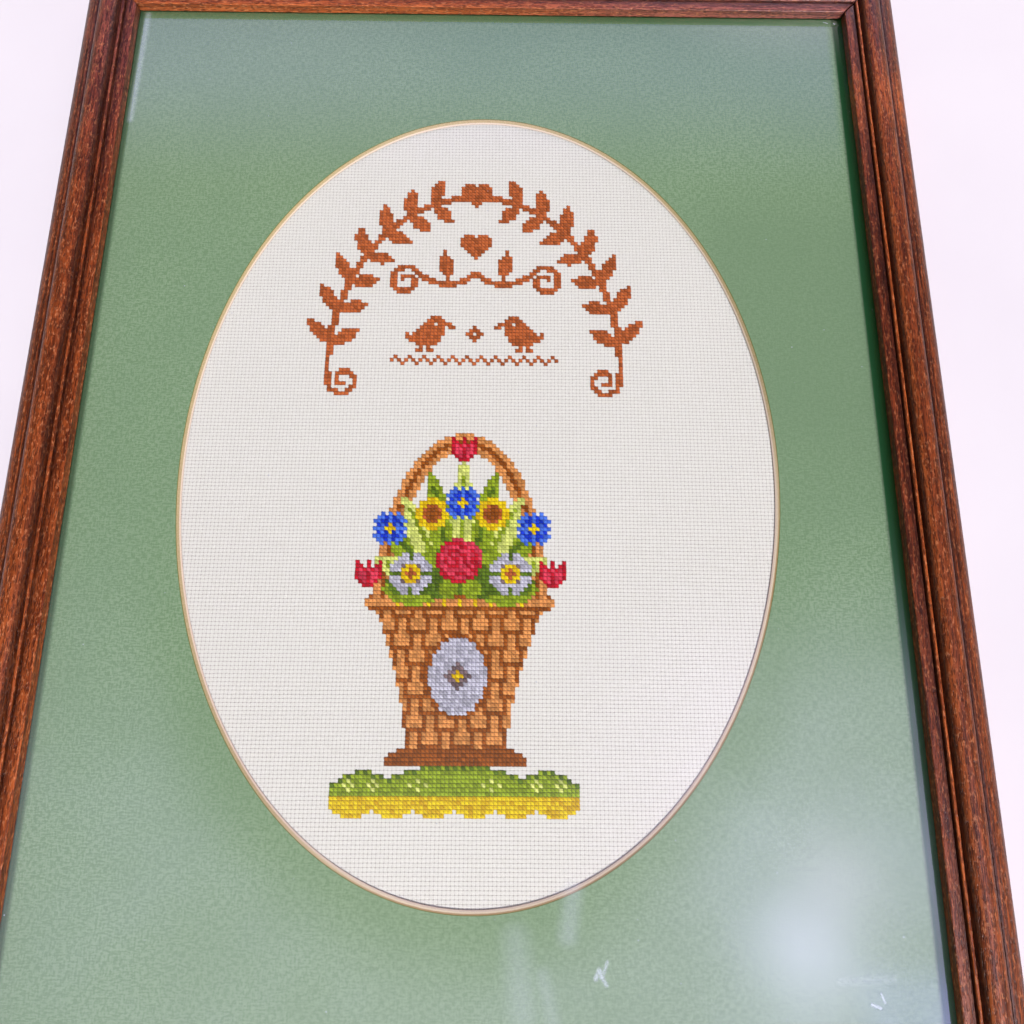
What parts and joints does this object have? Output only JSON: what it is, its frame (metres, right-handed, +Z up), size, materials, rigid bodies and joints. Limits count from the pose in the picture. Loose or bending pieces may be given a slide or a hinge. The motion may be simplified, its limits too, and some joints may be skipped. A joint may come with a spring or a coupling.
{
  "type": "framed cross stitch sampler",
  "caption": "Cross stitched cloth behind a bevelled oval mat and glass, in a mitred wood frame with a grooved moulding, lying on its back.",
  "frame": {"origin": "middle of the frame's footprint, on the surface that the frame's back lies on", "axes": "+Z up out of the picture's face, +Y towards the picture's top, +X to the picture's right"},
  "size_m": [0.3544, 0.4584, 0.0173],
  "materials": {
    "frame_wood": "red-brown stain with open dark grain under a semi-gloss varnish",
    "pane_glass": "clear picture glass, a little dusty",
    "mat_board": "matt green face with a fine linen emboss",
    "aida_cotton": "off-white counted cotton with a visible block weave",
    "back_board": "plain brown board"
  },
  "bodies": {
    "root": {"frame_rail_top": "frame_wood", "frame_rail_right": "frame_wood", "frame_rail_left": "frame_wood", "frame_rail_bottom": "frame_wood", "glass_pane": "pane_glass", "oval_mat": "mat_board", "stitched_cloth": "aida_cotton", "backing_board": "back_board"}
  },
  "joints": []
}
